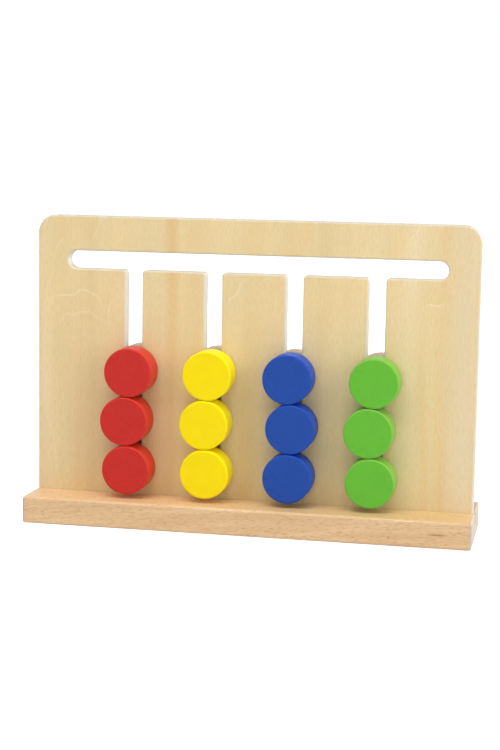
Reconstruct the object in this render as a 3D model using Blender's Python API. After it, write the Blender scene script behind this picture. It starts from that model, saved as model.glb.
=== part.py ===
"""Tabletop wooden matching game.

An upright slotted plywood board stands glued in the groove of a beech base bar. Twelve
two-sided pieces, three to a column, run in the slots: each is a pin through the board with
a painted disc in front and a thinner plain one behind. Millimetres below, metres in the
model, +Z up, +Y to the back.
"""
import math

import bmesh
import bpy
from mathutils import Vector
from mathutils.geometry import tessellate_polygon

MM = 0.001

# Base bar
BASE_LENGTH = 300.0
BASE_DEPTH = 70.0
BASE_HEIGHT = 18.0
BASE_ROUND = 2.0
BASE_END_ROUND = 1.6
GROOVE_DEPTH = 8.0

# Slotted board
BOARD_LENGTH = 297.0
BOARD_THICKNESS = 10.0
OVERALL_HEIGHT = 205.5
BOARD_CORNER = 12.0
BOARD_ROUND = 1.2
TOP_RAIL = 23.5
CHANNEL_HEIGHT = 12.0
CHANNEL_LENGTH = 255.0
SLOT_WIDTH = 11.4
SLOT_PITCH = 54.5
SLOT_FILLET = 2.2

# Pieces: two discs on a pin
DISC_DIAMETER = 32.6
DISC_THICKNESS = 18.5
BACK_DISC_THICKNESS = 9.0
DISC_FACE_ROUND = 1.2
DISC_BACK_ROUND = 1.5
DISC_PLAY = 1.0
DISC_OFF_BASE = 3.2
PIN_DIAMETER = 7.0
PIN_DEPTH_SHARE = 0.62
PIN_CHAMFER = 0.6

# Glue line, and the space drawn between pieces that touch
GAP = 0.3

# Sideways lean of each piece in its slot, bottom to top, as a share of the slack
COLUMNS = {
    "red": (0.10, -0.70, 0.70),
    "yellow": (-0.30, -0.75, 0.20),
    "blue": (0.30, 1.00, -0.35),
    "green": (0.35, -0.65, 0.95),
}
ROWS = ("bottom", "middle", "top")

# Facets of the curved faces
DISC_SIDES = 28
PIN_SIDES = 16
ARC_STEP_DEG = 15.0
ROUND_STEPS = 2

# Sizes that follow from the ones above
GROOVE_FLOOR = BASE_HEIGHT - GROOVE_DEPTH
BOARD_FOOT = GROOVE_FLOOR + GAP
CHANNEL_TOP = OVERALL_HEIGHT - TOP_RAIL
CHANNEL_FLOOR = CHANNEL_TOP - CHANNEL_HEIGHT
SLOT_SLACK = SLOT_WIDTH / 2 - PIN_DIAMETER / 2 - GAP
LOWEST_PIECE = BASE_HEIGHT + DISC_OFF_BASE + DISC_DIAMETER / 2
SLOT_END = LOWEST_PIECE + SLOT_SLACK
BOARD_FACE = BOARD_THICKNESS / 2
DISC_NEAR = BOARD_FACE + DISC_PLAY
FRONT_REACH = DISC_NEAR + DISC_THICKNESS * PIN_DEPTH_SHARE
BACK_REACH = DISC_NEAR + BACK_DISC_THICKNESS * PIN_DEPTH_SHARE


def paint(name, colour, roughness):
    """A plain surface in one sRGB colour."""
    material = bpy.data.materials.new(name)
    material.use_nodes = True
    shader = material.node_tree.nodes["Principled BSDF"]
    channels = [int(colour[i:i + 2], 16) / 255 for i in (1, 3, 5)]
    linear = [c / 12.92 if c <= 0.04045 else ((c + 0.055) / 1.055) ** 2.4 for c in channels]
    shader.inputs["Base Color"].default_value = (*linear, 1.0)
    shader.inputs["Roughness"].default_value = roughness
    shader.inputs["Metallic"].default_value = 0.0
    material.diffuse_color = (*linear, 1.0)
    return material


def add_object(name, points, faces, material, at=(0.0, 0.0, 0.0), parent=None, smooth=False):
    """One closed piece from points in millimetres, facing outwards."""
    mesh = bpy.data.meshes.new(name)
    body = bmesh.new()
    corners = [body.verts.new([c * MM for c in p]) for p in points]
    for face in faces:
        body.faces.new([corners[i] for i in face])
    bmesh.ops.recalc_face_normals(body, faces=body.faces)
    for face in body.faces:
        face.smooth = smooth
    body.to_mesh(mesh)
    body.free()
    mesh.materials.append(material)
    obj = bpy.data.objects.new(name, mesh)
    bpy.context.collection.objects.link(obj)
    obj.location = [c * MM for c in at]
    obj.parent = parent
    if smooth:
        mesh.set_sharp_from_angle(angle=math.radians(50))
    return obj


def arc(x, z, radius, start, end):
    """Points along an arc in the board's plane, degrees anticlockwise."""
    steps = max(2, round(abs(end - start) / ARC_STEP_DEG))
    angles = [math.radians(start + (end - start) * k / steps) for k in range(steps + 1)]
    return [(x + radius * math.cos(a), z + radius * math.sin(a)) for a in angles]


def column_x(index):
    return (index - (len(COLUMNS) - 1) / 2) * SLOT_PITCH


def board_outline(inset):
    """The board's outside edge, drawn in by the inset: square foot, rounded top corners."""
    half = BOARD_LENGTH / 2
    low = BOARD_FOOT + inset
    centre_x = half - BOARD_CORNER
    centre_z = OVERALL_HEIGHT - BOARD_CORNER
    points = [(-half + inset, low), (half - inset, low)]
    points += arc(centre_x, centre_z, BOARD_CORNER - inset, 0, 90)
    points += arc(-centre_x, centre_z, BOARD_CORNER - inset, 90, 180)
    return points


def opening_outline(inset):
    """The edge of the one comb-shaped opening: the channel and the slots hanging from it."""
    middle = (CHANNEL_TOP + CHANNEL_FLOOR) / 2
    radius = CHANNEL_HEIGHT / 2
    end_x = CHANNEL_LENGTH / 2 - radius
    points = arc(end_x, middle, radius + inset, -90, 90)
    points += arc(-end_x, middle, radius + inset, 90, 270)
    for index in range(len(COLUMNS)):
        x = column_x(index)
        side = SLOT_WIDTH / 2 + SLOT_FILLET
        shoulder = CHANNEL_FLOOR - SLOT_FILLET
        points += arc(x - side, shoulder, SLOT_FILLET - inset, 90, 0)
        points += arc(x, SLOT_END, SLOT_WIDTH / 2 + inset, 180, 360)
        points += arc(x + side, shoulder, SLOT_FILLET - inset, 180, 90)
    return points


def make_board(material):
    """Rings of both edges from face to face, with the arrises rounded over."""
    angles = [math.pi / 2 * k / ROUND_STEPS for k in range(ROUND_STEPS + 1)]
    insets = [BOARD_ROUND * (1 - math.sin(a)) for a in angles]
    depths = [BOARD_ROUND * (1 - math.cos(a)) for a in angles]
    levels = [(depth - BOARD_FACE, inset) for depth, inset in zip(depths, insets)]
    levels += [(-y, inset) for y, inset in reversed(levels)]
    outer_count = len(board_outline(0.0))
    inner_count = len(opening_outline(0.0))
    ring = outer_count + inner_count
    points = []
    for y, inset in levels:
        outline = board_outline(inset) + opening_outline(inset)
        points += [(x, y, z) for x, z in outline]
    faces = []
    for level in range(len(levels) - 1):
        for first, count in ((0, outer_count), (outer_count, inner_count)):
            for i in range(count):
                a = level * ring + first + i
                b = level * ring + first + (i + 1) % count
                faces.append((a, b, b + ring, a + ring))
    flat = [Vector((x, z, 0.0)) for x, y, z in points[:ring]]
    for a, b, c in tessellate_polygon([flat[:outer_count], flat[outer_count:]]):
        faces.append((a, b, c))
        last = (len(levels) - 1) * ring
        faces.append((last + c, last + b, last + a))
    return add_object("board", points, faces, material)


def make_base(material):
    """The bar's cross-section with its groove, rounded along its edges and at its ends."""
    half = BASE_DEPTH / 2
    groove = BOARD_FACE + GAP

    def section(inset):
        low = inset
        high = BASE_HEIGHT - inset
        deep = half - inset
        centre_y = half - BASE_ROUND
        radius = BASE_ROUND - inset
        points = arc(-centre_y, BASE_ROUND, radius, 180, 270)
        points += arc(centre_y, BASE_ROUND, radius, 270, 360)
        points += arc(centre_y, BASE_HEIGHT - BASE_ROUND, radius, 0, 90)
        points += [(groove, high), (groove, GROOVE_FLOOR), (-groove, GROOVE_FLOOR), (-groove, high)]
        points += arc(-centre_y, BASE_HEIGHT - BASE_ROUND, radius, 90, 180)
        return points

    angles = [math.pi / 2 * k / ROUND_STEPS for k in range(ROUND_STEPS + 1)]
    levels = []
    for a in angles:
        along = BASE_END_ROUND * (1 - math.cos(a)) - BASE_LENGTH / 2
        levels.append((along, BASE_END_ROUND * (1 - math.sin(a))))
    levels += [(-x, inset) for x, inset in reversed(levels)]
    count = len(section(0.0))
    points = [(x, y, z) for x, inset in levels for y, z in section(inset)]
    faces = []
    for level in range(len(levels) - 1):
        for i in range(count):
            a = level * count + i
            b = level * count + (i + 1) % count
            faces.append((a, b, b + count, a + count))
    flat = [Vector((y, z, 0.0)) for x, y, z in points[:count]]
    last = (len(levels) - 1) * count
    for a, b, c in tessellate_polygon([flat]):
        faces.append((a, b, c))
        faces.append((last + c, last + b, last + a))
    return add_object("base", points, faces, material)


def turned(profile, sides):
    """Points and faces of a turned solid about Y; the profile runs from axis to axis."""
    rings = profile[1:-1]
    points = [(0.0, profile[0][1], 0.0), (0.0, profile[-1][1], 0.0)]
    for radius, y in rings:
        for k in range(sides):
            a = 2 * math.pi * (k + 0.5) / sides
            points.append((radius * math.cos(a), y, radius * math.sin(a)))
    faces = []
    for k in range(sides):
        n = (k + 1) % sides
        faces.append((0, 2 + k, 2 + n))
        for r in range(len(rings) - 1):
            a = 2 + r * sides
            faces.append((a + k, a + sides + k, a + sides + n, a + n))
        a = 2 + (len(rings) - 1) * sides
        faces.append((1, a + n, a + k))
    return points, faces


def disc_profile(side, thickness, reach):
    """Half section of a disc: rounded show face, eased board side, blind hole for the pin."""
    radius = DISC_DIAMETER / 2
    near = DISC_NEAR
    far = near + thickness
    floor = reach + GAP
    hole = PIN_DIAMETER / 2 + GAP
    profile = [(0.0, far)]
    for k in range(ROUND_STEPS + 1):
        a = math.pi / 2 * k / ROUND_STEPS
        run = DISC_FACE_ROUND * (1 - math.sin(a))
        drop = DISC_FACE_ROUND * (1 - math.cos(a))
        profile.append((radius - run, far - drop))
    profile.append((radius, near + DISC_BACK_ROUND))
    profile.append((radius - DISC_BACK_ROUND, near))
    profile += [(hole, near), (hole, floor), (0.0, floor)]
    return [(r, side * y) for r, y in profile]


def pin_profile():
    """Half section of the pin: a plain dowel with its ends broken."""
    radius = PIN_DIAMETER / 2
    small = radius - PIN_CHAMFER
    return [
        (0.0, -FRONT_REACH),
        (small, -FRONT_REACH),
        (radius, PIN_CHAMFER - FRONT_REACH),
        (radius, BACK_REACH - PIN_CHAMFER),
        (small, BACK_REACH),
        (0.0, BACK_REACH),
    ]


for old in list(bpy.data.objects):
    bpy.data.objects.remove(old, do_unlink=True)

beech = paint("beech", "#e2ba8c", 0.5)
plywood = paint("plywood", "#e2caa0", 0.55)
dowel = paint("dowel_wood", "#d9b98c", 0.6)
plain_disc = paint("disc_wood", "#e4cba4", 0.5)
COLOURS = {
    "red": paint("red_paint", "#c4322d", 0.42),
    "yellow": paint("yellow_paint", "#f5dc12", 0.42),
    "blue": paint("blue_paint", "#2c4ea6", 0.42),
    "green": paint("green_paint", "#66b93c", 0.42),
}

make_base(beech)
make_board(plywood)

# The lowest pin of a column lies in the slot's round end; each disc rests on the one below
for index, (colour, leans) in enumerate(COLUMNS.items()):
    below = None
    for row, lean in zip(ROWS, leans):
        offset = lean * SLOT_SLACK
        if below is None:
            z = SLOT_END - math.sqrt(SLOT_SLACK ** 2 - offset ** 2)
        else:
            reach = DISC_DIAMETER + GAP
            z = below[1] + math.sqrt(reach ** 2 - (offset - below[0]) ** 2)
        below = (offset, z)
        piece = f"{colour}_{row}"
        points, faces = turned(pin_profile(), PIN_SIDES)
        place = (column_x(index) + offset, 0.0, z)
        pin = add_object(f"{piece}_pin", points, faces, dowel, at=place, smooth=True)
        front = disc_profile(-1, DISC_THICKNESS, FRONT_REACH)
        back = disc_profile(1, BACK_DISC_THICKNESS, BACK_REACH)
        for end, profile, finish in (("front", front, COLOURS[colour]), ("back", back, plain_disc)):
            points, faces = turned(profile, DISC_SIDES)
            name = f"{piece}_{end}_disc"
            add_object(name, points, faces, finish, parent=pin, smooth=True)
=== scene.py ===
"""Looks of a wooden matching game: a slotted plywood board in a beech base bar, with painted
discs on pins that run in its slots. One section for each kind of piece, in the order in
which the toy is put together, then the table, the light and the camera."""
import math

import bmesh
import bpy
import numpy as np
from mathutils import Matrix, Vector
from mathutils.geometry import tessellate_polygon


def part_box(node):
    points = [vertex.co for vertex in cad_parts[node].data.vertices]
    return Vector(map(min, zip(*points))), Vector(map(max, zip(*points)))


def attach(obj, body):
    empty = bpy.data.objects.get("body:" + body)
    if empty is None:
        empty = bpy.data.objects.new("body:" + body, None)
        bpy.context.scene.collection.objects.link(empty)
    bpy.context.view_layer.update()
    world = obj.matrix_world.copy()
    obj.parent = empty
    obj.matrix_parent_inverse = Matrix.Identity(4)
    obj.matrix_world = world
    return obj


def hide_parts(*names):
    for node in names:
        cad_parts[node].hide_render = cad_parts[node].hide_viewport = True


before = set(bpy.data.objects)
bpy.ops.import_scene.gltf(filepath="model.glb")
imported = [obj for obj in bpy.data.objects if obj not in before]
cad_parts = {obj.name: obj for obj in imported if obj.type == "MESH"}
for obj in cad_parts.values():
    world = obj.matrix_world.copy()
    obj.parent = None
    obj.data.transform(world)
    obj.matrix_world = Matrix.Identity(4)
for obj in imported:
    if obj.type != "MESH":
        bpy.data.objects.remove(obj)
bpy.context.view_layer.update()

# Base: the bar that lies on the table and holds the board upright in a groove.
# Solid beech, planed, its edges rounded with a cutter, the groove sawn from end to end,
# then sanded and sealed with one coat of clear satin lacquer.
MM = 0.001
base_low, base_high = (np.array(corner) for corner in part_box("base"))
board_low, board_high = (np.array(corner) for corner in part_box("board"))
BASE_ROUND = 2.0 * MM
BASE_END_ROUND = 1.6 * MM
GROOVE_SIDE = 0.3 * MM
GROOVE_UNDER = 0.3 * MM
GROOVE_ARRIS = 0.4 * MM
GROOVE_CORNER = 0.1 * MM
SUPPORT = 0.35 * MM
ROUND_STEPS = 8
SAME_POINT = 0.0001 * MM
SHARP_BEND = math.radians(40)


def outline(corners, radii, grow, steps, support=0.0):
    """Closed anticlockwise outline of straight runs at right angles, joined by arcs and moved
    outwards by grow. A corner moves by grow along the normals of both its runs; a left bend
    gains grow in radius and a right bend loses it. The arc is its centre plus radius times
    the arriving and leaving directions, weighted by the sine and cosine of the swing.
    Support adds a point on the run at that distance before and after each arc, and of two
    points in the same place one is dropped."""
    corner = np.asarray(corners, float)
    leave = np.roll(corner, -1, axis=0) - corner
    leave /= np.linalg.norm(leave, axis=1, keepdims=True)
    arrive = np.roll(leave, 1, axis=0)
    normal = np.stack([leave[:, 1], -leave[:, 0]], axis=1)
    bend = np.sign(arrive[:, 0] * leave[:, 1] - arrive[:, 1] * leave[:, 0])
    corner = corner + grow * (normal + np.roll(normal, 1, axis=0))
    radius = (np.asarray(radii, float) + grow * bend)[:, None, None]
    leave, arrive = leave[:, None, :], arrive[:, None, :]
    centre = corner[:, None, :] + radius * (leave - arrive)
    swing = np.linspace(0.0, math.pi / 2, steps + 1)[None, :, None]
    points = centre + radius * (arrive * np.sin(swing) - leave * np.cos(swing))
    if support:
        before = points[:, :1] - support * arrive
        after = points[:, -1:] + support * leave
        points = np.concatenate([before, points, after], axis=1)
    points = points.reshape(-1, 2)
    apart = np.linalg.norm(np.roll(points, -1, axis=0) - points, axis=1) > SAME_POINT
    return points[apart]


def rounded_levels(half, radius):
    """Places across a thickness of twice half, with the inset of the outline at each: a
    quarter circle of that radius at both ends, with a support line on either side of it."""
    swing = np.linspace(0.0, math.pi / 2, ROUND_STEPS + 1)
    depth = np.concatenate([[0.0], radius * (1 - np.cos(swing)), [radius + SUPPORT]])
    inset = np.concatenate([[radius + SUPPORT], radius * (1 - np.sin(swing)), [0.0]])
    place = np.concatenate([depth - half, half - depth[::-1]])
    return place, np.concatenate([inset, inset[::-1]])


def loft(name, stacks, flat_axes):
    """Closed mesh round one or more stacks of rings (levels x points x 3). Neighbouring rings
    are joined point to point by quads; the first rings of all stacks bound one flat face
    and the last rings another, both cut into triangles in the plane of the two flat axes."""
    faces, rims, first = [], [], 0
    for stack in stacks:
        levels, count = stack.shape[:2]
        index = first + np.arange(levels * count).reshape(levels, count)
        ahead = np.roll(index, -1, axis=1)
        quads = np.stack([index[:-1], ahead[:-1], ahead[1:], index[1:]], axis=-1)
        faces += quads.reshape(-1, 4).tolist()
        rims.append((index[0], index[-1]))
        first += levels * count
    points = np.concatenate([stack.reshape(-1, 3) for stack in stacks])
    for end in (0, 1):
        loops = [rim[end] for rim in rims]
        flat = [np.pad(points[loop][:, flat_axes], ((0, 0), (0, 1))).tolist() for loop in loops]
        corners = np.array(tessellate_polygon([[Vector(point) for point in loop] for loop in flat]))
        faces += np.concatenate(loops)[corners].tolist()
    mesh = bpy.data.meshes.new(name)
    mesh.from_pydata(points.tolist(), [], faces)
    body = bmesh.new()
    body.from_mesh(mesh)
    bmesh.ops.recalc_face_normals(body, faces=body.faces)
    body.to_mesh(mesh)
    body.free()
    mesh.shade_smooth()
    mesh.set_sharp_from_angle(angle=SHARP_BEND)
    piece = bpy.data.objects.new(name, mesh)
    bpy.context.collection.objects.link(piece)
    return piece


def linear(colour):
    """An sRGB hex colour as linear RGBA: each channel by the sRGB curve."""
    channels = np.array([int(colour[start:start + 2], 16) for start in (1, 3, 5)]) / 255
    channels = np.where(channels <= 0.04045, channels / 12.92, ((channels + 0.055) / 1.055) ** 2.4)
    return (*channels.tolist(), 1.0)


def put(tree, kind, values=(), **settings):
    """Adds one shader node. Settings are its properties; values gives each input, by name or
    number, a constant or the output socket that feeds it."""
    node = tree.nodes.new(kind)
    for key, value in settings.items():
        setattr(node, key, value)
    for key, value in dict(values).items():
        if isinstance(value, bpy.types.NodeSocket):
            tree.links.new(value, node.inputs[key])
        else:
            node.inputs[key].default_value = value
    return node


def years(tree, place, pith, across, spacing, wander):
    """Place within the yearly ring, from 0 to 1: the distance from the pith, taken across the
    grain only, divided by the ring spacing, plus the wander, less its whole part."""
    away = put(tree, "ShaderNodeVectorMath", {0: place, 1: pith}, operation="SUBTRACT")
    away = put(tree, "ShaderNodeVectorMath", {0: away.outputs[0], 1: across}, operation="MULTIPLY")
    away = put(tree, "ShaderNodeVectorMath", {0: away.outputs[0]}, operation="LENGTH")
    year = put(tree, "ShaderNodeMath", {0: away.outputs["Value"], 1: 1 / spacing, 2: wander},
               operation="MULTIPLY_ADD")
    return put(tree, "ShaderNodeMath", {0: year.outputs[0]}, operation="FRACT").outputs[0]


# Lacquered beech: pale pinkish-tan wood. The eye gets faint streaks along the bar's length, many
# short dark flecks a few millimetres long and, on the paler sawn ends, the same as dots on faint
# arcs of the yearly rings. Painted light makes the walls and floor of the groove paler still, against
# the shade inside the groove, and the faces that look up lighter and warmer, for the light from above.
# One long gum streak and one pin knot lie low on the front near the right end.
BEECH_STREAK = (60 * MM, 3.0 * MM, 3.0 * MM)
BEECH_FLECK = (4.0 * MM, 0.36 * MM, 0.36 * MM)
BEECH_PATCH = (80 * MM, 12 * MM, 12 * MM)
BEECH_SLOPE = math.radians(-5)
BEECH_PITH = (0.0, 34 * MM, -62 * MM)
BEECH_RING = 3.4 * MM
GUM_STREAK = ((128.0 * MM, -35.0 * MM, 9.2 * MM), (8.0 * MM, 3.0 * MM, 0.8 * MM))
PIN_KNOT = ((97.0 * MM, -35.0 * MM, 5.8 * MM), (1.1 * MM, 2.0 * MM, 1.0 * MM))
beech = bpy.data.materials.new("lacquered_beech")
beech.use_nodes = True
tree = beech.node_tree
shader = tree.nodes["Principled BSDF"]
coords = put(tree, "ShaderNodeTexCoord").outputs
place = coords["Object"]
fields = []
for size, detail in ((BEECH_STREAK, 4.0), (BEECH_FLECK, 1.0), (BEECH_PATCH, 2.0)):
    scaled = put(tree, "ShaderNodeMapping",
                 {"Vector": place, "Rotation": (0.0, BEECH_SLOPE, 0.0), "Scale": size},
                 vector_type="TEXTURE")
    noise = put(tree, "ShaderNodeTexNoise", {"Vector": scaled.outputs[0], "Scale": 1.0, "Detail": detail})
    fields.append(noise.outputs["Fac"])
streak_field, fleck_field, patch_field = fields
streak = put(tree, "ShaderNodeMapRange", {0: streak_field, 1: 0.35, 2: 0.66})
fleck = put(tree, "ShaderNodeMapRange", {0: fleck_field, 1: 0.58, 2: 0.68, 4: 0.72})
patch = put(tree, "ShaderNodeMapRange", {0: patch_field, 1: 0.35, 2: 0.65, 4: 0.5})
tone = put(tree, "ShaderNodeMix", {0: streak.outputs[0], 6: linear("#dbbb91"), 7: linear("#cca87d")},
           data_type="RGBA")
tone = put(tree, "ShaderNodeMix", {0: patch.outputs[0], 6: tone.outputs[2], 7: linear("#d5b28a")},
           data_type="RGBA")
# Painted light: the faces that look up are painted a lighter, warmer tone than the front, lightest at the
# left end and darker towards the right. It stands in for the light from above and the warm light thrown
# back by the board.
facing = put(tree, "ShaderNodeSeparateXYZ", {0: coords["Normal"]})
top_light_share = put(tree, "ShaderNodeMapRange", {0: facing.outputs[2], 1: 0.6, 2: 0.95, 4: 0.75})
along = put(tree, "ShaderNodeSeparateXYZ", {0: place})
top_light_slope = put(tree, "ShaderNodeMapRange", {0: along.outputs[0], 1: base_low[0], 2: base_high[0]})
top_painted_light = put(tree, "ShaderNodeMix", {0: top_light_slope.outputs[0], 6: linear("#f6ce9c"), 7: linear("#e1bd86")},
            data_type="RGBA")
tone = put(tree, "ShaderNodeMix", {0: top_light_share.outputs[0], 6: tone.outputs[2], 7: top_painted_light.outputs[2]},
           data_type="RGBA")
ends = put(tree, "ShaderNodeMath", {0: along.outputs[0]}, operation="ABSOLUTE")
sawn_from = base_high[0] - 1.3 * BASE_END_ROUND
sawn_full = base_high[0] - 0.7 * BASE_END_ROUND
sawn = put(tree, "ShaderNodeMapRange", {0: ends.outputs[0], 1: sawn_from, 2: sawn_full, 4: 0.85})
year = years(tree, place, BEECH_PITH, (0.0, 1.0, 1.0), BEECH_RING, patch_field)
late = put(tree, "ShaderNodeMapRange", {0: year, 1: 0.25, 2: 1.0, 4: 0.28})
late = put(tree, "ShaderNodeMath", {0: late.outputs[0], 1: sawn.outputs[0]}, operation="MULTIPLY")
# Painted light: the walls and floor of the groove are painted a pale tone, which cancels the shade that
# falls inside the groove.
off_middle = put(tree, "ShaderNodeMath", {0: along.outputs[1]}, operation="ABSOLUTE")
groove_light_edge = board_high[1] + 2 * GROOVE_SIDE
groove_light_floor = board_low[2] - 2 * GROOVE_UNDER
groove_light = put(tree, "ShaderNodeMapRange",
          {0: off_middle.outputs[0], 1: groove_light_edge, 2: groove_light_edge - GROOVE_SIDE, 4: 0.85})
above = put(tree, "ShaderNodeMath", {0: along.outputs[2], 1: groove_light_floor}, operation="GREATER_THAN")
groove_light = put(tree, "ShaderNodeMath", {0: groove_light.outputs[0], 1: above.outputs[0]}, operation="MULTIPLY")
for amount, colour in ((sawn, "#beb1a3"), (late, "#a6978a"), (groove_light, "#f0e4d6")):
    tone = put(tree, "ShaderNodeMix", {0: amount.outputs[0], 6: tone.outputs[2], 7: linear(colour)},
               data_type="RGBA")
tone = put(tree, "ShaderNodeMix", {0: fleck.outputs[0], 6: tone.outputs[2], 7: linear("#ac7b49")},
           data_type="RGBA")
for (spot, size), darkest in ((GUM_STREAK, 0.85), (PIN_KNOT, 0.8)):
    near = put(tree, "ShaderNodeVectorMath", {0: place, 1: spot}, operation="SUBTRACT")
    near = put(tree, "ShaderNodeVectorMath", {0: near.outputs[0], 1: size}, operation="DIVIDE")
    near = put(tree, "ShaderNodeVectorMath", {0: near.outputs[0]}, operation="LENGTH")
    near = put(tree, "ShaderNodeMapRange", {0: near.outputs["Value"], 1: 1.0, 2: 0.3, 4: darkest})
    tone = put(tree, "ShaderNodeMix", {0: near.outputs[0], 6: tone.outputs[2], 7: linear("#a06c3c")},
               data_type="RGBA")
tree.links.new(tone.outputs[2], shader.inputs["Base Color"])
rough = put(tree, "ShaderNodeMapRange", {0: streak_field, 1: 0.3, 2: 0.7, 3: 0.32, 4: 0.42})
rough = put(tree, "ShaderNodeMath", {0: sawn.outputs[0], 1: 0.35, 2: rough.outputs[0]},
            operation="MULTIPLY_ADD")
tree.links.new(rough.outputs[0], shader.inputs["Roughness"])
dents = put(tree, "ShaderNodeBump", {"Strength": 0.35, "Distance": 0.05 * MM, "Height": fleck.outputs[0]},
            invert=True)
tree.links.new(dents.outputs[0], shader.inputs["Normal"])
shader.inputs["IOR"].default_value = 1.5
shader.inputs["Specular IOR Level"].default_value = 0.4

half_depth = (base_high[1] - base_low[1]) / 2
groove = board_high[1] + GROOVE_SIDE
groove_floor = board_low[2] - GROOVE_UNDER
bar_top = base_high[2]


def bar_section(inset):
    """The bar's cross-section with its outside drawn in by the inset, as the end rounding
    leaves it; the groove, sawn afterwards, keeps its width and depth."""
    side, low, top = half_depth - inset, inset, bar_top - inset
    corners = [(-side, low), (side, low), (side, top), (groove, top), (groove, groove_floor),
               (-groove, groove_floor), (-groove, top), (-side, top)]
    outside = BASE_ROUND - inset
    radii = [outside] * 3 + [GROOVE_ARRIS, GROOVE_CORNER, GROOVE_CORNER, GROOVE_ARRIS, outside]
    return outline(corners, radii, 0.0, ROUND_STEPS, SUPPORT)


bar_x, bar_inset = rounded_levels(base_high[0], BASE_END_ROUND)
bar_rings = [np.insert(bar_section(inset), 0, x, axis=1) for x, inset in zip(bar_x, bar_inset)]
base = loft("base_bar", [np.stack(bar_rings)], [1, 2])
base.data.materials.append(beech)
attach(base, "stand")
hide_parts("base")

# Board: the upright panel with the channel and the four slots in which the pieces run.
# Pale plywood with its face grain upright, cut out in one pass with a router, every edge
# rounded over and sanded, sealed with clear lacquer and glued into the groove of the base.
BOARD_ROUND = 1.2 * MM
BOARD_CORNER = 12.0 * MM
BOARD_FOOT_CORNER = 2.0 * MM
CHANNEL_HALF = 127.5 * MM
CHANNEL_TOP = 182.0 * MM
CHANNEL_FLOOR = 170.0 * MM
SLOT_HALF = 5.7 * MM
SLOT_FLOOR = 33.7 * MM
SLOT_FILLET = 2.2 * MM
SLOT_X = [x * MM for x in (-81.75, -27.25, 27.25, 81.75)]
BOARD_ARC_STEPS = 20

panel = [(board_low[0], board_low[2]), (board_high[0], board_low[2]),
         (board_high[0], board_high[2]), (board_low[0], board_high[2])]
panel_radii = [BOARD_FOOT_CORNER] * 2 + [BOARD_CORNER] * 2
comb = [(-CHANNEL_HALF, CHANNEL_FLOOR)]
comb_radii = [(CHANNEL_TOP - CHANNEL_FLOOR) / 2]
for x in SLOT_X:
    left, right = x - SLOT_HALF, x + SLOT_HALF
    comb += [(left, CHANNEL_FLOOR), (left, SLOT_FLOOR), (right, SLOT_FLOOR), (right, CHANNEL_FLOOR)]
    comb_radii += [SLOT_FILLET, SLOT_HALF, SLOT_HALF, SLOT_FILLET]
comb += [(CHANNEL_HALF, CHANNEL_FLOOR), (CHANNEL_HALF, CHANNEL_TOP), (-CHANNEL_HALF, CHANNEL_TOP)]
comb_radii += comb_radii[:1] * 3
board_y, board_inset = rounded_levels(board_high[1], BOARD_ROUND)
edge_rings, comb_rings = [], []
for y, inset in zip(board_y, board_inset):
    edge_rings.append(np.insert(outline(panel, panel_radii, -inset, BOARD_ARC_STEPS), 1, y, axis=1))
    comb_rings.append(np.insert(outline(comb, comb_radii, inset, BOARD_ARC_STEPS), 1, y, axis=1))
board = loft("slotted_board", [np.stack(edge_rings), np.stack(comb_rings)], [0, 2])

# Plywood with a rotary-cut face veneer: cream, in broad soft upright bands, a few of them warmer or
# paler, with finer streaks and clouds. The knife left thin pale lines where it crossed the yearly
# rings: leaning on the top rail, upright below, and three nests of arcs. The short pores would be too
# fine to show and are drawn coarser. The rounded edges are paler and show the layers faintly.
VENEER_BAND = (15 * MM, 60 * MM, 420 * MM)
VENEER_STREAK = (2.4 * MM, 40 * MM, 130 * MM)
RING_FIELD = (50 * MM, 60 * MM, 260 * MM)
RING_RIPPLE = (9 * MM, 20 * MM, 16 * MM)
RING_FADE = (16 * MM, 40 * MM, 26 * MM)
VENEER_PORE = (1.0 * MM, 1.0 * MM, 5 * MM)
VENEER_CLOUD = (26 * MM, 60 * MM, 60 * MM)
RING_SPACING = 36 * MM
RING_LEAN = 0.45
LEAN_FROM = 140 * MM
LEAN_TO = 200 * MM
RING_WANDER = 3.0
RING_WAVE = 0.25
LOW_DOWN = 60 * MM
HIGH_UP = 170 * MM
ARCS_IN_NEST = 3.0
NEST_GONE = 2.6
# Each nest of arcs: place of its top, half width, bow, spacing, wobble and strength.
ARCS = (((-120 * MM, 160 * MM), 19 * MM, 0.018, 15 * MM, 11.0 * MM, 0.34),
        ((-62 * MM, 164 * MM), 15 * MM, 0.090, 6 * MM, 3.0 * MM, 0.20),
        ((53 * MM, 134 * MM), 8 * MM, 0.65, 8 * MM, 3.0 * MM, 0.36))
BAND_WANDER = 22 * MM
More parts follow.
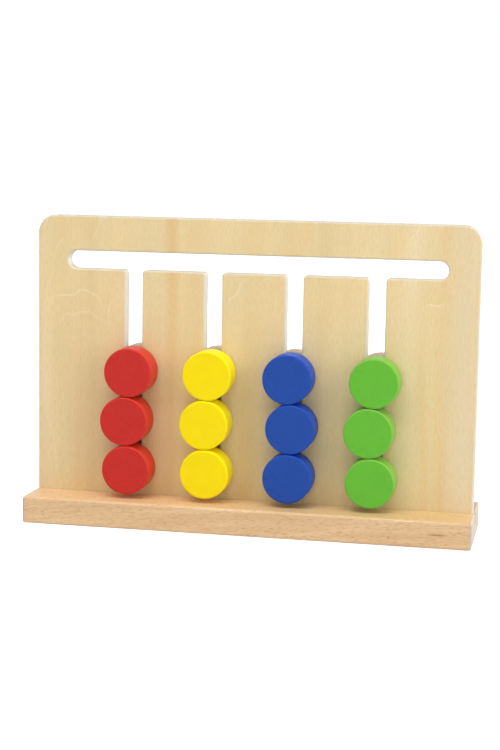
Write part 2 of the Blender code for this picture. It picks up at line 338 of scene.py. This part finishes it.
# Each band: place across, half width, strength low down and high up, and colour.
BANDS = ((-139 * MM, 11 * MM, 0.40, 0.25, "#e6d6b4"), (-116 * MM, 13 * MM, 0.34, 0.16, "#d6ae72"),
         (-58 * MM, 7 * MM, 0.13, 0.38, "#d0a362"), (-3 * MM, 13 * MM, 0.40, 0.08, "#cbaa61"),
         (107 * MM, 12 * MM, 0.08, 0.22, "#ede0c4"), (114 * MM, 4 * MM, 0.28, 0.00, "#d9b070"),
         (125 * MM, 5 * MM, 0.26, 0.05, "#d9b070"), (141 * MM, 21 * MM, 0.55, 0.35, "#dccdb2"))
PLY = 2.0 * MM
plywood = bpy.data.materials.new("lacquered_plywood")
plywood.use_nodes = True
tree = plywood.node_tree
shader = tree.nodes["Principled BSDF"]
coords = put(tree, "ShaderNodeTexCoord").outputs
place = coords["Object"]
fields = []
for size, detail in ((VENEER_BAND, 2.0), (VENEER_STREAK, 3.0), (RING_FIELD, 1.0), (RING_RIPPLE, 0.0),
                     (RING_FADE, 2.0), (VENEER_PORE, 1.0), (VENEER_CLOUD, 5.0)):
    scaled = put(tree, "ShaderNodeMapping", {"Vector": place, "Scale": [1 / length for length in size]})
    noise = put(tree, "ShaderNodeTexNoise", {"Vector": scaled.outputs[0], "Scale": 1.0, "Detail": detail})
    fields.append(noise.outputs["Fac"])
band, streak, field, ripple, fade, pore, cloud = fields
split = put(tree, "ShaderNodeSeparateXYZ", {0: place})
across, upward = split.outputs[0], split.outputs[2]
band = put(tree, "ShaderNodeMapRange", {0: band, 1: 0.35, 2: 0.65})
fine = put(tree, "ShaderNodeMapRange", {0: streak, 1: 0.35, 2: 0.68, 4: 0.20})
cloud = put(tree, "ShaderNodeMapRange", {0: cloud, 1: 0.35, 2: 0.66, 4: 0.60})
pore = put(tree, "ShaderNodeMapRange", {0: pore, 1: 0.40, 2: 0.78, 4: 0.19})
tone = put(tree, "ShaderNodeMix", {0: band.outputs[0], 6: linear("#ddcba0"), 7: linear("#d6c091")},
           data_type="RGBA")
high = put(tree, "ShaderNodeMapRange", {0: upward, 1: LOW_DOWN, 2: HIGH_UP, 3: 0.35, 4: 1.0})
layers = [(fine, "#d8bc88"), (cloud, "#e3c994")]
for middle, half, low, top, colour in BANDS:
    wander = put(tree, "ShaderNodeMath", {0: field, 1: BAND_WANDER, 2: across}, operation="MULTIPLY_ADD")
    wander = put(tree, "ShaderNodeMath", {0: wander.outputs[0], 1: middle + BAND_WANDER / 2},
                 operation="SUBTRACT")
    wander = put(tree, "ShaderNodeMath", {0: wander.outputs[0]}, operation="ABSOLUTE")
    amount = put(tree, "ShaderNodeMapRange", {0: wander.outputs[0], 1: half, 2: 0.0},
                 interpolation_type="SMOOTHSTEP")
    strength = put(tree, "ShaderNodeMapRange", {0: upward, 1: LOW_DOWN, 2: HIGH_UP, 3: low, 4: top})
    amount = put(tree, "ShaderNodeMath", {0: amount.outputs[0], 1: strength.outputs[0]},
                 operation="MULTIPLY")
    layers.append((amount, colour))
lean = put(tree, "ShaderNodeMapRange",
           {0: upward, 1: LEAN_FROM, 2: LEAN_TO, 4: (LEAN_FROM - LEAN_TO) * RING_LEAN})
rings = put(tree, "ShaderNodeMath", {0: across, 1: lean.outputs[0]}, operation="ADD")
rings = put(tree, "ShaderNodeMath", {0: rings.outputs[0], 1: 1 / RING_SPACING}, operation="MULTIPLY")
for wave, reach in ((field, RING_WANDER), (ripple, RING_WAVE)):
    rings = put(tree, "ShaderNodeMath", {0: wave, 1: reach, 2: rings.outputs[0]}, operation="MULTIPLY_ADD")
year = put(tree, "ShaderNodeMath", {0: rings.outputs[0]}, operation="FRACT")
line = put(tree, "ShaderNodeMapRange", {0: year.outputs[0], 1: 0.0, 2: 0.04, 3: 1.0, 4: 0.0})
shown = put(tree, "ShaderNodeMapRange", {0: fade, 1: 0.46, 2: 0.62, 4: 0.34})
shown = put(tree, "ShaderNodeMath", {0: shown.outputs[0], 1: high.outputs[0]}, operation="MULTIPLY")
line = put(tree, "ShaderNodeMath", {0: line.outputs[0], 1: shown.outputs[0]}, operation="MULTIPLY")
late = put(tree, "ShaderNodeMapRange", {0: year.outputs[0], 1: 0.6, 2: 1.0, 4: 0.22})
layers += [(late, "#d9bc85"), (line, "#f6ead0")]
for (apex_x, apex_z), reach, bow, spacing, wobble, most in ARCS:
    aside = put(tree, "ShaderNodeMath", {0: across, 1: apex_x}, operation="SUBTRACT")
    aside = put(tree, "ShaderNodeMath", {0: aside.outputs[0], 1: 2.0}, operation="POWER")
    below = put(tree, "ShaderNodeMath", {0: aside.outputs[0], 1: bow / MM, 2: upward},
                operation="MULTIPLY_ADD")
    below = put(tree, "ShaderNodeMath", {0: ripple, 1: wobble, 2: below.outputs[0]},
                operation="MULTIPLY_ADD")
    last_z = apex_z - ARCS_IN_NEST * spacing
    nest = put(tree, "ShaderNodeMapRange", {0: below.outputs[0], 1: apex_z, 2: last_z, 4: ARCS_IN_NEST})
    arc = put(tree, "ShaderNodeMath", {0: nest.outputs[0]}, operation="FRACT")
    arc = put(tree, "ShaderNodeMapRange", {0: arc.outputs[0], 1: 0.01, 2: 0.16, 3: most, 4: 0.0})
    dying = put(tree, "ShaderNodeMapRange", {0: nest.outputs[0], 1: 0.0, 2: NEST_GONE, 3: 1.0, 4: 0.0})
    begun = put(tree, "ShaderNodeMath", {0: nest.outputs[0], 1: 0.001}, operation="GREATER_THAN")
    inside = put(tree, "ShaderNodeMapRange", {0: aside.outputs[0], 1: reach ** 2, 2: (0.6 * reach) ** 2})
    for part in (dying, begun, inside):
        arc = put(tree, "ShaderNodeMath", {0: arc.outputs[0], 1: part.outputs[0]}, operation="MULTIPLY")
    layers.append((arc, "#f6ead0"))
layers.append((pore, "#b8935c"))
for amount, colour in layers:
    tone = put(tree, "ShaderNodeMix", {0: amount.outputs[0], 6: tone.outputs[2], 7: linear(colour)},
               data_type="RGBA")
layer = put(tree, "ShaderNodeMath", {0: split.outputs[1], 1: math.pi / PLY}, operation="MULTIPLY")
layer = put(tree, "ShaderNodeMath", {0: layer.outputs[0]}, operation="SINE")
layer = put(tree, "ShaderNodeMapRange", {0: layer.outputs[0], 1: -0.3, 2: 0.3})
plies = put(tree, "ShaderNodeMix", {0: layer.outputs[0], 6: linear("#d3cab9"), 7: linear("#cabfa9")},
            data_type="RGBA")
facing = put(tree, "ShaderNodeSeparateXYZ", {0: coords["Normal"]})
facing = put(tree, "ShaderNodeMath", {0: facing.outputs[1]}, operation="ABSOLUTE")
edge = put(tree, "ShaderNodeMapRange", {0: facing.outputs[0], 1: 0.995, 2: 0.85})
tone = put(tree, "ShaderNodeMix", {0: edge.outputs[0], 6: tone.outputs[2], 7: plies.outputs[2]},
           data_type="RGBA")
tree.links.new(tone.outputs[2], shader.inputs["Base Color"])
rough = put(tree, "ShaderNodeMapRange", {0: streak, 1: 0.3, 2: 0.7, 3: 0.46, 4: 0.58})
tree.links.new(rough.outputs[0], shader.inputs["Roughness"])
dents = put(tree, "ShaderNodeBump", {"Strength": 0.25, "Distance": 0.04 * MM, "Height": pore.outputs[0]},
            invert=True)
tree.links.new(dents.outputs[0], shader.inputs["Normal"])
shader.inputs["IOR"].default_value = 1.5
shader.inputs["Specular IOR Level"].default_value = 0.3
board.data.materials.append(plywood)
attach(board, "stand")
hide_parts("board")

# Pins: the dowels that pass through the slots and join the two discs of each piece.
# Plain turned hardwood, left bare, with chamfered ends, glued into blind holes in the discs.
PIN_RADIUS = 3.5 * MM
PIN_CHAMFER = 0.6 * MM
PIN_SIDES = 48
COLUMNS = ("red", "yellow", "blue", "green")
ROWS = ("bottom", "middle", "top")


def turned(name, profile, centre, sides):
    """Solid turned about a line along Y through the centre: each profile point (radius, y)
    becomes a ring, radius times the cosine and sine of evenly spaced angles, and the first
    and last rings close with flat ends."""
    radius, y = np.asarray(profile).T[:, :, None]
    angle = 2 * math.pi * np.arange(sides)[None, :] / sides
    rings = [centre[0] + radius * np.cos(angle), y + 0 * angle, centre[2] + radius * np.sin(angle)]
    return loft(name, [np.stack(rings, axis=-1)], [0, 2])


# Bare dowel: straight-grained pale hardwood, with fine streaks along the pin and dull faces.
DOWEL_STREAK = (0.9 * MM, 18 * MM, 0.9 * MM)
dowel = bpy.data.materials.new("bare_dowel")
dowel.use_nodes = True
tree = dowel.node_tree
shader = tree.nodes["Principled BSDF"]
place = put(tree, "ShaderNodeTexCoord").outputs["Object"]
scaled = put(tree, "ShaderNodeMapping", {"Vector": place, "Scale": [1 / length for length in DOWEL_STREAK]})
noise = put(tree, "ShaderNodeTexNoise", {"Vector": scaled.outputs[0], "Scale": 1.0, "Detail": 3.0})
streak = put(tree, "ShaderNodeMapRange", {0: noise.outputs["Fac"], 1: 0.35, 2: 0.66})
tone = put(tree, "ShaderNodeMix", {0: streak.outputs[0], 6: linear("#e4c99c"), 7: linear("#c9a472")},
           data_type="RGBA")
tree.links.new(tone.outputs[2], shader.inputs["Base Color"])
rough = put(tree, "ShaderNodeMapRange", {0: noise.outputs["Fac"], 1: 0.3, 2: 0.7, 3: 0.58, 4: 0.70})
tree.links.new(rough.outputs[0], shader.inputs["Roughness"])
dents = put(tree, "ShaderNodeBump", {"Strength": 0.3, "Distance": 0.03 * MM, "Height": streak.outputs[0]})
tree.links.new(dents.outputs[0], shader.inputs["Normal"])
shader.inputs["IOR"].default_value = 1.5

for colour in COLUMNS:
    for row in ROWS:
        pin_low, pin_high = (np.array(corner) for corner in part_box(f"{colour}_{row}_pin"))
        front, back = pin_low[1], pin_high[1]
        tip = PIN_RADIUS - PIN_CHAMFER
        pin_profile = [(tip, front), (PIN_RADIUS, front + PIN_CHAMFER),
                       (PIN_RADIUS, back - PIN_CHAMFER), (tip, back)]
        pin = turned(f"{colour}_{row}_dowel", pin_profile, (pin_low + pin_high) / 2, PIN_SIDES)
        pin.data.materials.append(dowel)
        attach(pin, f"{colour}_{row}_slider")
        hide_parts(f"{colour}_{row}_pin")

# Discs: the counters, a thick one at the front and a thin one at the back of every piece.
# Slices of a hardwood rod, turned with an eased rim and a blind hole for the pin; the front
# ones are sprayed all over with satin paint, the back ones only sealed with clear lacquer.
DISC_RADIUS = 16.3 * MM
DISC_FACE_ROUND = 1.2 * MM
DISC_BACK_ROUND = 1.5 * MM
DISC_SIDES = 112
PIN_HOLE = 3.8 * MM
PIN_HOLE_SPARE = 0.3 * MM
# Each paint: the face tone, and a lighter tone painted on the rim and round side as painted light.
PAINTS = {"red": ("#be2a24", "#ce3728"), "yellow": ("#eed500", "#ffe700"),
          "blue": ("#1d469a", "#184ab2"), "green": ("#60b033", "#80b848")}

# Satin spray paint on wood: even strong colour with a soft sheen. The rim and the round side are painted a
# lighter tone than the faces, as painted light: it stands in for the light from the right on the sides and
# draws a thin light line along the rim. They are also duller. Close to, the film has a slight orange peel a
# millimetre wide, and its thicker and thinner patches shift the tone a little.
PEEL = 1.1 * MM
FILM_PATCH = 11 * MM
paints = {}
for colour, (face_shade, side_lit_tone) in PAINTS.items():
    paint = bpy.data.materials.new(f"satin_{colour}_paint")
    paint.use_nodes = True
    tree = paint.node_tree
    shader = tree.nodes["Principled BSDF"]
    coords = put(tree, "ShaderNodeTexCoord").outputs
    place = coords["Object"]
    film = put(tree, "ShaderNodeTexNoise", {"Vector": place, "Scale": 1 / FILM_PATCH, "Detail": 3.0})
    peel = put(tree, "ShaderNodeTexNoise", {"Vector": place, "Scale": 1 / PEEL, "Detail": 1.0})
    value = put(tree, "ShaderNodeMapRange", {0: film.outputs["Fac"], 1: 0.3, 2: 0.7, 3: 0.975, 4: 1.02})
    facing = put(tree, "ShaderNodeSeparateXYZ", {0: coords["Normal"]})
    facing = put(tree, "ShaderNodeMath", {0: facing.outputs[1]}, operation="ABSOLUTE")
    # Painted highlight: from the edge of the flat face outwards, the rim and the round side get the lighter
    # side tone.
    facing = put(tree, "ShaderNodeMapRange", {0: facing.outputs[0], 1: 0.80, 2: 0.97})
    tone = put(tree, "ShaderNodeMix", {0: facing.outputs[0], 6: linear(side_lit_tone), 7: linear(face_shade)},
               data_type="RGBA")
    tone = put(tree, "ShaderNodeHueSaturation", {"Value": value.outputs[0], "Color": tone.outputs[2]})
    tree.links.new(tone.outputs[0], shader.inputs["Base Color"])
    rough = put(tree, "ShaderNodeMapRange", {0: film.outputs["Fac"], 1: 0.3, 2: 0.7, 3: 0.25, 4: 0.31})
    dull = put(tree, "ShaderNodeMapRange", {0: facing.outputs[0], 3: 0.15, 4: 0.0})
    rough = put(tree, "ShaderNodeMath", {0: rough.outputs[0], 1: dull.outputs[0]}, operation="ADD")
    tree.links.new(rough.outputs[0], shader.inputs["Roughness"])
    dents = put(tree, "ShaderNodeBump",
                {"Strength": 0.07, "Distance": 0.03 * MM, "Height": peel.outputs["Fac"]})
    tree.links.new(dents.outputs[0], shader.inputs["Normal"])
    shader.inputs["IOR"].default_value = 1.5
    shader.inputs["Specular IOR Level"].default_value = 0.14
    paints[colour] = paint

# Turned rod: pale hardwood with its grain along the pin. The round sides show fine streaks, and
# the faces the yearly rings, as arcs about a pith that lies well below the whole toy.
ROD_STREAK = (0.9 * MM, 25 * MM, 0.9 * MM)
ROD_PITH = (30 * MM, 0.0, -160 * MM)
ROD_RING = 2.6 * MM
rod = bpy.data.materials.new("lacquered_rod")
rod.use_nodes = True
tree = rod.node_tree
shader = tree.nodes["Principled BSDF"]
place = put(tree, "ShaderNodeTexCoord").outputs["Object"]
scaled = put(tree, "ShaderNodeMapping", {"Vector": place, "Scale": [1 / length for length in ROD_STREAK]})
noise = put(tree, "ShaderNodeTexNoise", {"Vector": scaled.outputs[0], "Scale": 1.0, "Detail": 2.0})
streak = put(tree, "ShaderNodeMapRange", {0: noise.outputs["Fac"], 1: 0.35, 2: 0.66})
year = years(tree, place, ROD_PITH, (1.0, 0.0, 1.0), ROD_RING, noise.outputs["Fac"])
late = put(tree, "ShaderNodeMapRange", {0: year, 1: 0.35, 2: 1.0, 4: 0.42})
tone = put(tree, "ShaderNodeMix", {0: streak.outputs[0], 6: linear("#f1e3c9"), 7: linear("#e9d6b5")},
           data_type="RGBA")
tone = put(tree, "ShaderNodeMix", {0: late.outputs[0], 6: tone.outputs[2], 7: linear("#dfc7a0")},
           data_type="RGBA")
tree.links.new(tone.outputs[2], shader.inputs["Base Color"])
rough = put(tree, "ShaderNodeMapRange", {0: noise.outputs["Fac"], 1: 0.3, 2: 0.7, 3: 0.44, 4: 0.56})
tree.links.new(rough.outputs[0], shader.inputs["Roughness"])
dents = put(tree, "ShaderNodeBump", {"Strength": 0.2, "Distance": 0.03 * MM, "Height": streak.outputs[0]})
tree.links.new(dents.outputs[0], shader.inputs["Normal"])
shader.inputs["IOR"].default_value = 1.5
shader.inputs["Specular IOR Level"].default_value = 0.3

swing = np.linspace(0.0, math.pi / 2, ROUND_STEPS + 1)
for colour in COLUMNS:
    for row in ROWS:
        pin_low, pin_high = (np.array(corner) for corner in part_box(f"{colour}_{row}_pin"))
        for end, side, finish, slot in (("front", -1.0, paints[colour], f"{colour}_paint"),
                                        ("back", 1.0, rod, "disc_wood")):
            node = f"{colour}_{row}_{end}_disc"
            disc_low, disc_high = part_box(node)
            near, far = sorted((abs(disc_low[1]), abs(disc_high[1])))
            hole_floor = max(side * pin_low[1], side * pin_high[1]) + PIN_HOLE_SPARE
            face_rim = np.stack([DISC_RADIUS - DISC_FACE_ROUND * (1 - np.sin(swing)),
                                 far - DISC_FACE_ROUND * (1 - np.cos(swing))], axis=1)
            back_rim = np.stack([DISC_RADIUS - DISC_BACK_ROUND * (1 - np.cos(swing)),
                                 near + DISC_BACK_ROUND * (1 - np.sin(swing))], axis=1)
            profile = np.concatenate([
                [(DISC_RADIUS - DISC_FACE_ROUND - SUPPORT, far)], face_rim,
                [(DISC_RADIUS, far - DISC_FACE_ROUND - SUPPORT)],
                [(DISC_RADIUS, near + DISC_BACK_ROUND + SUPPORT)], back_rim,
                [(DISC_RADIUS - DISC_BACK_ROUND - SUPPORT, near)],
                [(PIN_HOLE, near), (PIN_HOLE, hole_floor)],
            ]) * (1.0, side)
            disc = turned(f"{colour}_{row}_{end}_counter", profile, (pin_low + pin_high) / 2, DISC_SIDES)
            disc.data.materials.append(finish)
            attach(disc, f"{colour}_{row}_discs")
            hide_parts(node)

# Table and backdrop: one plain white floor that runs out to the white surroundings. For the
# camera it adds a little light of its own, so that it reads as white and keeps the shadow.
FLOOR_HALF = 8.0
FLOOR_LEVEL = -0.2 * MM
FLOOR_GREY = 0.80
GLOW_NEAR = 0.3
GLOW_FAR = 1.2
GLOW_LEAST = 0.78
floor_mesh = bpy.data.meshes.new("floor")
floor_mesh.from_pydata([(-FLOOR_HALF, -FLOOR_HALF, FLOOR_LEVEL), (FLOOR_HALF, -FLOOR_HALF, FLOOR_LEVEL),
                        (FLOOR_HALF, FLOOR_HALF, FLOOR_LEVEL), (-FLOOR_HALF, FLOOR_HALF, FLOOR_LEVEL)],
                       [], [(0, 1, 2, 3)])
floor = bpy.data.objects.new("floor", floor_mesh)
bpy.context.collection.objects.link(floor)
paper = bpy.data.materials.new("white_floor")
paper.use_nodes = True
tree = paper.node_tree
tree.nodes.remove(tree.nodes["Principled BSDF"])


def backdrop_seen(tree):
    """1 for the rays that show the surroundings, from the camera or by way of gloss or glass."""
    path = put(tree, "ShaderNodeLightPath")
    seen = path.outputs["Is Camera Ray"]
    for ray in ("Is Glossy Ray", "Is Transmission Ray"):
        seen = put(tree, "ShaderNodeMath", {0: seen, 1: path.outputs[ray]}, operation="MAXIMUM").outputs[0]
    return seen


matt = put(tree, "ShaderNodeBsdfDiffuse", {"Color": (FLOOR_GREY, FLOOR_GREY, FLOOR_GREY, 1.0)})
reach = put(tree, "ShaderNodeTexCoord").outputs["Object"]
reach = put(tree, "ShaderNodeVectorMath", {0: reach}, operation="LENGTH")
white = put(tree, "ShaderNodeMapRange",
            {0: reach.outputs["Value"], 1: GLOW_NEAR, 2: GLOW_FAR, 3: GLOW_LEAST, 4: 1.0})
glow = put(tree, "ShaderNodeMath", {0: backdrop_seen(tree), 1: white.outputs[0]}, operation="MULTIPLY")
glow = put(tree, "ShaderNodeEmission", {"Strength": glow.outputs[0]})
both = put(tree, "ShaderNodeAddShader", {0: matt.outputs[0], 1: glow.outputs[0]})
tree.links.new(both.outputs[0], tree.nodes["Material Output"].inputs["Surface"])
floor_mesh.materials.append(paper)

# Light: a white tent, with broad soft lamps high in front and at the right, a weaker one at the
# left, and a small one low behind the right end. Each lamp has a direction, a distance, a size and
# a level, which is what a surface turned to it gets, as a share of white.
ROOM = 0.03
AIM = Vector((0.0, 0.0, 0.09))
LAMPS = {
    "above": ((0.00, -0.50, 0.86), 3.0, 2.6, 0.79),
    "right": ((0.85, -0.38, 0.36), 3.0, 2.8, 0.74),
    "left": ((-0.62, -0.62, 0.47), 3.0, 2.2, 0.26),
    "behind": ((0.55, 0.80, 0.24), 3.0, 1.3, 0.60),
}
world = bpy.data.worlds.new("white_tent")
bpy.context.scene.world = world
world.use_nodes = True
tree = world.node_tree
white = put(tree, "ShaderNodeMapRange", {0: backdrop_seen(tree), 3: ROOM, 4: 1.0})
background = tree.nodes["Background"]
background.inputs["Color"].default_value = (1.0, 1.0, 1.0, 1.0)
tree.links.new(white.outputs[0], background.inputs["Strength"])
for name, (towards, distance, size, level) in LAMPS.items():
    lamp = bpy.data.lights.new(name, "AREA")
    lamp.size = size
    lamp.energy = level * math.pi ** 2 * distance ** 2
    towards = Vector(towards).normalized()
    lamp_object = bpy.data.objects.new(name, lamp)
    lamp_object.location = AIM + towards * distance
    lamp_object.rotation_euler = (-towards).to_track_quat("-Z", "Y").to_euler()
    bpy.context.collection.objects.link(lamp_object)

# Camera: a little right of the middle and above, turned very slightly, for a 500 x 750 image.
EYE = Vector((0.212956, -1.071034, 0.252901))
RIGHT = Vector((0.979743, 0.199515, 0.017224))
UP = Vector((-0.043994, 0.130530, 0.990468))
FOCAL_PIXELS = 1653.72
FRAME_HEIGHT = 750
SENSOR = 36.0
lens = bpy.data.cameras.new("camera")
lens.sensor_fit = "VERTICAL"
lens.sensor_height = SENSOR
lens.lens = FOCAL_PIXELS * SENSOR / FRAME_HEIGHT
camera = bpy.data.objects.new("camera", lens)
turn = Matrix((RIGHT, UP, RIGHT.cross(UP))).transposed()
camera.matrix_world = Matrix.LocRotScale(EYE, turn.to_quaternion(), None)
bpy.context.collection.objects.link(camera)
bpy.context.scene.camera = camera
bpy.context.scene.view_settings.view_transform = "Standard"
